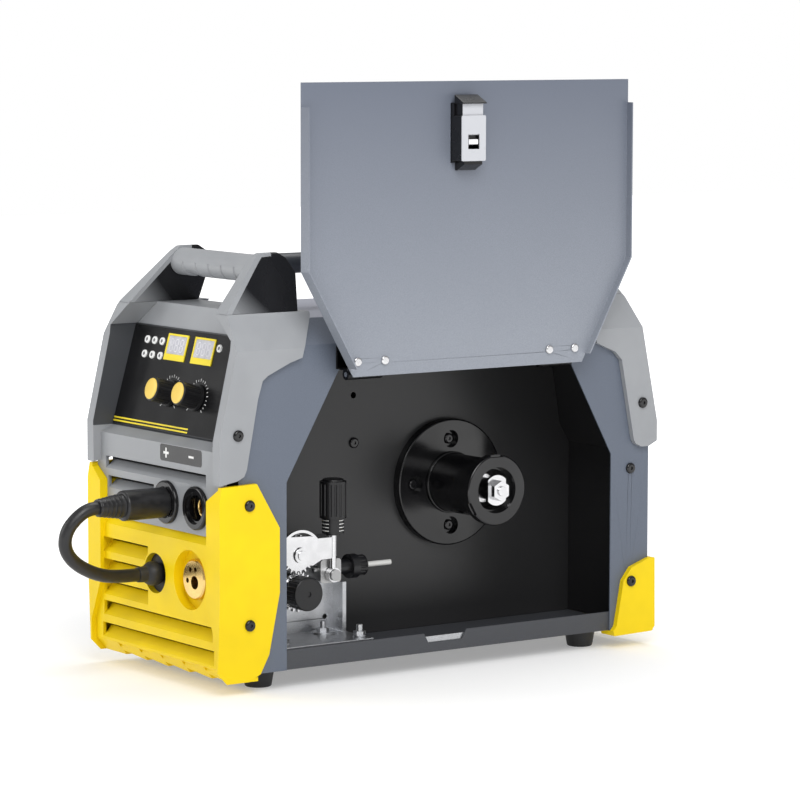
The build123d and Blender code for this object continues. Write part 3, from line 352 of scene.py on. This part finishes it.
def laminated_core(box):
    """Stacked iron sheets, with lacquered copper where the winding stands in the middle."""
    finish = Finish("iron", (0.10, 0.095, 0.09), 0.5, Metallic=0.6)
    wave = finish.tree.nodes.new("ShaderNodeTexWave")
    wave.bands_direction = "Y"
    finish.join(finish.place, wave.inputs["Vector"])
    wave.inputs["Scale"].default_value = 900.0
    sheets = finish.blend(wave.outputs["Fac"], (0.07, 0.068, 0.066), (0.15, 0.14, 0.13))
    middle = (box[0].x + box[1].x) / 2 - PLACE.x
    offset = finish.math("ABSOLUTE", finish.math("SUBTRACT", finish.axis("X"), middle))
    level = finish.math("ABSOLUTE", finish.math("SUBTRACT", finish.axis("Z"), 0.05))
    inside = finish.math("MULTIPLY", finish.math("LESS_THAN", offset, 0.0179),
                         finish.math("LESS_THAN", level, 0.0159))
    finish.colour(finish.blend(inside, sheets, (0.35, 0.10, 0.03)))
    finish.bump(wave.outputs["Fac"], 0.05)
    return finish


def guide_plastic():
    """Black guide with its pale liner tube behind."""
    finish = Finish("guide", BLACK, 0.36)
    tube = finish.math("GREATER_THAN", finish.axis("Y"), -54.5 * MM)
    block = finish.math("LESS_THAN", finish.axis("Y"), -79.9 * MM)
    base = finish.blend(tube, BLACK, (0.62, 0.62, 0.60))
    finish.colour(finish.blend(block, base, (0.42, 0.42, 0.42)))
    finish.join(block, finish.shader.inputs["Metallic"])
    finish.bump(finish.noise(0.5, 2.0), 0.01)
    return finish


def capacitor_sleeve():
    """Dark shrink sleeve with a bare aluminium top."""
    finish = Finish("capacitor", (0.02, 0.025, 0.05), 0.35)
    top = finish.math("GREATER_THAN", finish.axis("Z"), 195.0 * MM)
    finish.colour(finish.blend(top, (0.02, 0.025, 0.05), (0.6, 0.6, 0.62)))
    finish.join(top, finish.shader.inputs["Metallic"])
    finish.bump(finish.noise(0.6, 2.0), 0.01)
    return finish


materials = {
    "casing": casing_paint(),
    "pan": powder_coat("pan", (0.055, 0.058, 0.066), 0.5),
    "inner": powder_coat("inner", (0.010, 0.010, 0.011), 0.55, 0.3, 0.04),
    "partition": powder_coat("partition", (0.024, 0.024, 0.025), 0.34, 0.25, 0.02),
    "grey": trim_plastic(),
    "yellow": moulded_plastic("yellow", TRIM_YELLOW, 0.42, Specular_IOR_Level=0.25),
    "door": door_paint(),
    "black": moulded_plastic("black", BLACK, 0.38),
    "gloss": moulded_plastic("gloss", shade(BLACK, 0.8), 0.16, 0.6, 0.004),
    "post": post_plastic(),
    "latch": latch_plastic("latch", 131.4, 400, 470, 139),
    "bolt": latch_plastic("bolt", 130.6, 420, 464.6, 131.3),
    "socket": socket_plastic(),
    "screw": moulded_plastic("screw", BLACK, 0.14, 0.4, 0.004),
    "panel": moulded_plastic("panel", shade(BLACK, 0.7), 0.22, 0.4, 0.004),
    "tube": powder_coat("tube", (0.045, 0.05, 0.06), 0.34, 0.12, 0.02),
    "glass": window_print(),
    "lens": moulded_plastic("lens", (0.16, 0.16, 0.17), 0.2, 0.6, 0.002),
    "rubber": soft_rubber("rubber"),
    "lead": soft_rubber("lead", (0.010, 0.010, 0.011), 0.36),
    "zinc": plated_metal("zinc", (0.56, 0.57, 0.59), 0.32),
    "bright": plated_metal("bright", (0.66, 0.66, 0.67), 0.18, 0.5, 0.006, 0.10),
    "black_steel": plated_metal("black_steel", (0.035, 0.035, 0.037), 0.30, 0.5, 0.008, 0.2),
    "brass": plated_metal("brass", (0.86, 0.60, 0.22), 0.22, 0.5, 0.006, 0.10),
    "aluminium": plated_metal("aluminium", (0.66, 0.67, 0.69), 0.38, 0.5, 0.01, 0.1, (1, 0.05, 1)),
    "board": circuit_board(),
    "iron": laminated_core(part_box("transformer")),
    "guide": guide_plastic(),
    "capacitor": capacitor_sleeve(),
    "white": moulded_plastic("white", (0.80, 0.80, 0.79), 0.4, 0.5, 0.002),
    "print_yellow": moulded_plastic("print_yellow", (0.90, 0.72, 0.03), 0.35, 0.5, 0.002),
    "cap_yellow": moulded_plastic("cap_yellow", (0.80, 0.56, 0.10), 0.35, 0.5, 0.004),
    "digit": moulded_plastic("digit", (0.66, 0.66, 0.69), 0.3, 0.5, 0.002),
}


# ---- finishes and softened edges of the CAD parts ----
# node: (material, edge softening in millimetres)
FINISHES = {
    "base_pan": ("pan", 0.3), "latch_strike": ("zinc", 0.25), "casing_cover": ("casing", 0.35),
    "rubber_feet": ("rubber", 0.5), "front_bulkhead": ("inner", 0.2), "rear_panel": ("inner", 0.2),
    "partition_wall": ("partition", 0.2), "front_fascia": ("grey", 0.9), "lower_fascia": ("yellow", 0.9),
    "rear_fascia": ("grey", 0.9), "rear_bumper": ("yellow", 0.9), "front_handle": ("grey", 1.0),
    "front_handle_back": ("post", 0.8), "rear_handle": ("grey", 1.0), "handle_tube": ("tube", 0.3),
    "control_panel": ("panel", 0.2), "display_frames": ("print_yellow", 0.2),
    "display_windows": ("glass", 0.1), "indicator_lenses": ("lens", 0.1),
    "voltage_knob": ("black", 0.2), "current_knob": ("black", 0.2), "control_board": ("board", 0.1),
    "positive_socket": ("gloss", 0.4), "negative_socket": ("socket", 0.4), "euro_connector": ("brass", 0.3),
    "lead_grommet": ("rubber", 0.4), "polarity_plug": ("lead", 0.4), "door_panel": ("door", 0.25),
    "hinge_door_leaves": ("black_steel", 0.3), "hinge_case_leaves": ("black_steel", 0.3),
    "hinge_pins": ("zinc", 0.2), "door_screws": ("bright", 0.2), "latch_housing": ("latch", 0.5),
    "latch_bolt": ("bolt", 0.4), "feeder_bracket": ("zinc", 0.3), "feed_motor": ("zinc", 0.3),
    "drive_roll": ("bright", 0.2), "drive_knob": ("black", 0.4), "pressure_roller": ("bright", 0.2),
    "pressure_arm": ("bright", 0.5), "wire_inlet_guide": ("guide", 0.3), "feeder_bolts": ("zinc", 0.3),
    "tension_rod": ("bright", 0.2), "tension_knob": ("black", 0.4), "hub_base": ("gloss", 0.4),
    "hub_barrel": ("gloss", 0.4), "hub_lock_ring": ("gloss", 0.5), "hub_axle": ("bright", 0.4),
    "case_screws": ("screw", 0.2), "main_board": ("board", 0.1), "heat_sinks": ("aluminium", 0.2),
    "transformer": ("iron", 0.3), "capacitors": ("capacitor", 0.2), "fan_frame": ("black", 0.4),
    "fan_rotor": ("black", 0.3), "mains_switch": ("black", 0.4), "switch_rocker": ("gloss", 0.4),
    "mains_gland": ("black", 0.4), "gas_valve": ("brass", 0.3),
}


def soften(piece, width):
    """Welds a CAD mesh's faces together and rounds its sharp edges."""
    weld = piece.modifiers.new("weld", "WELD")
    weld.merge_threshold = 0.00001
    bevel = piece.modifiers.new("bevel", "BEVEL")
    bevel.width = width * MM
    bevel.segments = 2
    bevel.limit_method = "ANGLE"
    bevel.angle_limit = radians(28)
    bevel.use_clamp_overlap = True
    bevel.miter_outer = "MITER_ARC"
    normals = piece.modifiers.new("normals", "WEIGHTED_NORMAL")
    normals.keep_sharp = False
    normals.weight = 60


for name, (finish, width) in FINISHES.items():
    node = nodes[name]
    node.data.materials.clear()
    node.data.materials.append(materials[finish].material)
    soften(node, width)
lead.data.materials.append(materials["lead"].material)


# ---- mesh helpers for the pieces that only the looks need ----
def add_piece(name, mesh, body, finish):
    piece = bpy.data.objects.new(name, mesh)
    bpy.context.scene.collection.objects.link(piece)
    mesh.materials.append(materials[finish].material)
    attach(piece, body)
    return piece


def prisms(name, outlines, placing, low, high):
    """Mesh of flat outlines, given in millimetres, raised from low to high over the placing's plane."""
    form = bmesh.new()
    for outline in outlines:
        bottom = [form.verts.new(placing @ Vector((u * MM, v * MM, low * MM))) for u, v in outline]
        top = [form.verts.new(placing @ Vector((u * MM, v * MM, high * MM))) for u, v in outline]
        form.faces.new(list(reversed(bottom)))
        form.faces.new(top)
        count = len(outline)
        for index in range(count):
            after = (index + 1) % count
            form.faces.new((bottom[index], bottom[after], top[after], top[index]))
    bmesh.ops.recalc_face_normals(form, faces=form.faces)
    mesh = bpy.data.meshes.new(name)
    form.to_mesh(mesh)
    form.free()
    return mesh


def lathe(name, profile, placing, steps=64):
    """Mesh of a (radius, height) profile in millimetres turned about the placing's local Z."""
    form = bmesh.new()
    rings = []
    for radius, height in profile:
        if radius == 0:
            rings.append([form.verts.new(placing @ Vector((0, 0, height * MM)))])
            continue
        ring = []
        for step in range(steps):
            turn = 2 * pi * step / steps
            spot = Vector((radius * MM * cos(turn), radius * MM * sin(turn), height * MM))
            ring.append(form.verts.new(placing @ spot))
        rings.append(ring)
    for inner, outer in zip(rings, rings[1:]):
        for step in range(steps):
            after = (step + 1) % steps
            corners = [inner[step % len(inner)], inner[after % len(inner)],
                       outer[after % len(outer)], outer[step % len(outer)]]
            form.faces.new(list(dict.fromkeys(corners)))
    bmesh.ops.recalc_face_normals(form, faces=form.faces)
    for face in form.faces:
        face.smooth = True
    mesh = bpy.data.meshes.new(name)
    form.to_mesh(mesh)
    form.free()
    return mesh


def facing(origin, out, across=(1, 0, 0)):
    """Placing whose local Z points out of a surface and whose local X runs across it."""
    z_axis = Vector(out).normalized()
    x_axis = Vector(across).normalized()
    y_axis = z_axis.cross(x_axis).normalized()
    matrix = Matrix((x_axis, y_axis, z_axis)).transposed().to_4x4()
    matrix.translation = Vector(origin)
    return matrix


def rectangle(u0, u1, v0, v1):
    return [(u0, v0), (u1, v0), (u1, v1), (u0, v1)]


def rounded(u0, u1, v0, v1, radius, steps=5):
    """Rectangle with rounded corners."""
    outline = []
    for index, (cu, cv) in enumerate(((u1, v1), (u0, v1), (u0, v0), (u1, v0))):
        su, sv = (-radius if cu == u1 else radius), (-radius if cv == v1 else radius)
        for step in range(steps + 1):
            turn = pi / 2 * (index + step / steps)
            outline.append((cu + su + radius * cos(turn), cv + sv + radius * sin(turn)))
    return outline


# ---- control panel graphics ----
PANEL_SKIN = 1.6
knob_joint = {"voltage": joints["voltage_turn"], "current": joints["current_turn"]}
panel_normal = Vector(knob_joint["voltage"]["axis"])
panel_middle = Vector(knob_joint["voltage"]["pos_m"])
panel_middle.x = PLACE.x
panel = facing(panel_middle, panel_normal)
PRINT = (PANEL_SKIN, PANEL_SKIN + 0.06)


def dial_ticks():
    """White scale marks round the two knobs."""
    outlines = []
    for joint in knob_joint.values():
        middle = (joint["pos_m"][0] - PLACE.x) / MM
        for index in range(21):
            turn = radians(225 - 13.5 * index)
            inner, outer = (13.4, 15.0) if index % 2 else (13.4, 15.8)
            width = 0.28
            tick = []
            for radius, side in ((inner, -1), (outer, -1), (outer, 1), (inner, 1)):
                u = middle + radius * cos(turn) - side * width * sin(turn)
                v = radius * sin(turn) + side * width * cos(turn)
                tick.append((u, v))
            outlines.append(tick)
    return prisms("dial_ticks", outlines, panel, *PRINT)


def stripes():
    outlines = [rectangle(-91.0, 24.0, -29.6, -28.3), rectangle(-91.0, 24.0, -26.9, -25.6)]
    return prisms("panel_stripes", outlines, panel, *PRINT)


def seven_segments(u, v, width, height):
    """Outlines of an unlit digit's seven segments."""
    bar = 1.1
    half = height / 2
    parts = [rectangle(u + bar, u + width - bar, v + height - bar, v + height),
             rectangle(u + bar, u + width - bar, v + half - bar / 2, v + half + bar / 2),
             rectangle(u + bar, u + width - bar, v, v + bar)]
    for side in (u, u + width - bar):
        parts.append(rectangle(side, side + bar, v + bar, v + half - bar / 2))
        parts.append(rectangle(side, side + bar, v + half + bar / 2, v + height - bar))
    return parts


def display_digits():
    outlines = []
    for left in (-35.8, 5.3):
        for digit in range(3):
            outlines += seven_segments(left + 4.4 + 7.6 * digit, 33.8, 5.6, 11.0)
    return prisms("display_digits", outlines, panel, PANEL_SKIN + 0.42, PANEL_SKIN + 0.47)


add_piece("dial_ticks", dial_ticks(), "chassis", "white")
add_piece("panel_stripes", stripes(), "chassis", "print_yellow")
add_piece("display_digits", display_digits(), "chassis", "digit")


LAMP_SPOTS = [(-67, 41.2), (-55.6, 41.2), (-43.8, 41.2), (-66.5, 29.1), (-54.5, 29.1), (-42.2, 29.1),
              (43.2, 41.8)]
RIM_PROFILE = [(1.5, PANEL_SKIN + 1.12), (2.0, PANEL_SKIN + 1.4), (3.0, PANEL_SKIN + 1.3),
               (3.3, PANEL_SKIN + 0.02)]


def indicator_rims():
    """White moulded rims standing round the indicator lenses."""
    form = bmesh.new()
    for u, v in LAMP_SPOTS:
        placing = panel @ Matrix.Translation((u * MM, v * MM, 0))
        form.from_mesh(lathe("rim", RIM_PROFILE, placing, 28))
    mesh = bpy.data.meshes.new("indicator_rims")
    form.to_mesh(mesh)
    form.free()
    return mesh


add_piece("indicator_rims", indicator_rims(), "chassis", "white")

KNOB_TOP = PANEL_SKIN + 19.0
CAP_PROFILE = [(0, 1.0), (5.0, 0.95), (7.6, 0.7), (8.5, 0.35), (8.7, 0.0), (8.7, -0.3), (0, -0.3)]
for side, joint in knob_joint.items():
    top = Vector(joint["pos_m"]) + panel_normal * KNOB_TOP * MM
    cap = lathe(f"{side}_cap", CAP_PROFILE, facing(top, panel_normal))
    add_piece(f"{side}_cap", cap, f"{side}_knob_body", "cap_yellow")

# ---- polarity label between the panel and the top louvre ----
face_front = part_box("negative_socket")[0].y + 3.5 * MM
label = facing((PLACE.x, face_front, 0), (0, -1, 0))
plate = prisms("polarity_label", [rounded(2, 65, 179.5, 193.0, 2.5)], label, 0.02, 0.10)
add_piece("polarity_label", plate, "chassis", "gloss")
signs = [rectangle(7.2, 15.2, 185.2, 187.2), rectangle(10.2, 12.2, 182.2, 185.15),
         rectangle(10.2, 12.2, 187.25, 190.2), rectangle(45.4, 53, 185.3, 187.1)]
marks = prisms("polarity_signs", signs, label, 0.12, 0.18)
add_piece("polarity_signs", marks, "chassis", "white")

# ---- brass contact inside the free socket ----
socket_low, socket_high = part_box("negative_socket")
socket_middle = ((socket_low.x + socket_high.x) / 2, socket_low.y, (socket_low.z + socket_high.z) / 2)
SLEEVE = [(6.64, -10.5), (6.64, -9.0), (8.0, -9.0), (8.7, -9.6), (8.7, -10.5), (6.64, -10.5)]
sleeve = lathe("socket_contact", SLEEVE, facing(socket_middle, (0, -1, 0)))
add_piece("socket_contact", sleeve, "chassis", "brass")


# ---- tension scale ----
def tension_scale():
    """White marks round the sleeve under the tension knob."""
    joint = joints["tension_turn"]
    middle = Vector((joint["pos_m"][0], joint["pos_m"][1], 0))
    form = bmesh.new()
    for row in range(4):
        height = (118.6 + 2.8 * row) * MM
        for start in range(0, 360, 120):
            arc = []
            for step in range(9):
                turn = radians(start + 8 * step)
                spot = Vector((cos(turn), sin(turn), 0)) * 9.03 * MM
                low = middle + spot + Vector((0, 0, height))
                arc.append((form.verts.new(low), form.verts.new(low + Vector((0, 0, 0.55 * MM)))))
            for first, second in zip(arc, arc[1:]):
                form.faces.new((first[0], second[0], second[1], first[1]))
    mesh = bpy.data.meshes.new("tension_scale")
    form.to_mesh(mesh)
    form.free()
    return mesh


add_piece("tension_scale", tension_scale(), "tension_knob_body", "white")


# ---- studio ----
def make_floor():
    form = bmesh.new()
    bmesh.ops.create_grid(form, x_segments=4, y_segments=4, size=6.0)
    mesh = bpy.data.meshes.new("floor")
    form.to_mesh(mesh)
    form.free()
    floor = bpy.data.objects.new("floor", mesh)
    bpy.context.scene.collection.objects.link(floor)
    paper = Finish("floor", (0.75, 0.75, 0.75), 0.85, Emission_Color=(1, 1, 1, 1))
    reach = paper.tree.nodes.new("ShaderNodeVectorMath")
    reach.operation = "LENGTH"
    paper.join(paper.place, reach.inputs[0])
    glow = paper.span(reach.outputs["Value"], 0.3, 1.5, 0.30, 1.0)
    paper.join(glow, paper.shader.inputs["Emission Strength"])
    mesh.materials.append(paper.material)


def make_world():
    world = bpy.data.worlds.new("studio")
    bpy.context.scene.world = world
    world.use_nodes = True
    tree = world.node_tree
    background = tree.nodes["Background"]
    background.inputs["Color"].default_value = (1, 1, 1, 1)
    rays = tree.nodes.new("ShaderNodeLightPath")
    strength = tree.nodes.new("ShaderNodeMapRange")
    strength.inputs["To Min"].default_value = 0.42
    strength.inputs["To Max"].default_value = 1.0
    tree.links.new(rays.outputs["Is Camera Ray"], strength.inputs["Value"])
    tree.links.new(strength.outputs["Result"], background.inputs["Strength"])


def softbox(name, place, target, size, watts):
    data = bpy.data.lights.new(name, "AREA")
    data.shape = "RECTANGLE"
    data.size, data.size_y = size
    data.energy = watts
    light = bpy.data.objects.new(name, data)
    bpy.context.scene.collection.objects.link(light)
    light.location = place
    direction = Vector(target) - Vector(place)
    light.rotation_euler = direction.to_track_quat("-Z", "Y").to_euler()


make_floor()
make_world()
softbox("key", (1.7, -0.7, 1.7), (0, 0, 0.2), (1.4, 1.4), 36)
softbox("front", (-1.2, -1.9, 1.0), (0, -0.1, 0.15), (1.0, 1.4), 14)
softbox("top", (-0.3, 0.5, 2.0), (0, 0, 0.2), (1.4, 1.2), 16)
bpy.context.scene.view_settings.view_transform = "Standard"

bpy.context.view_layer.update()
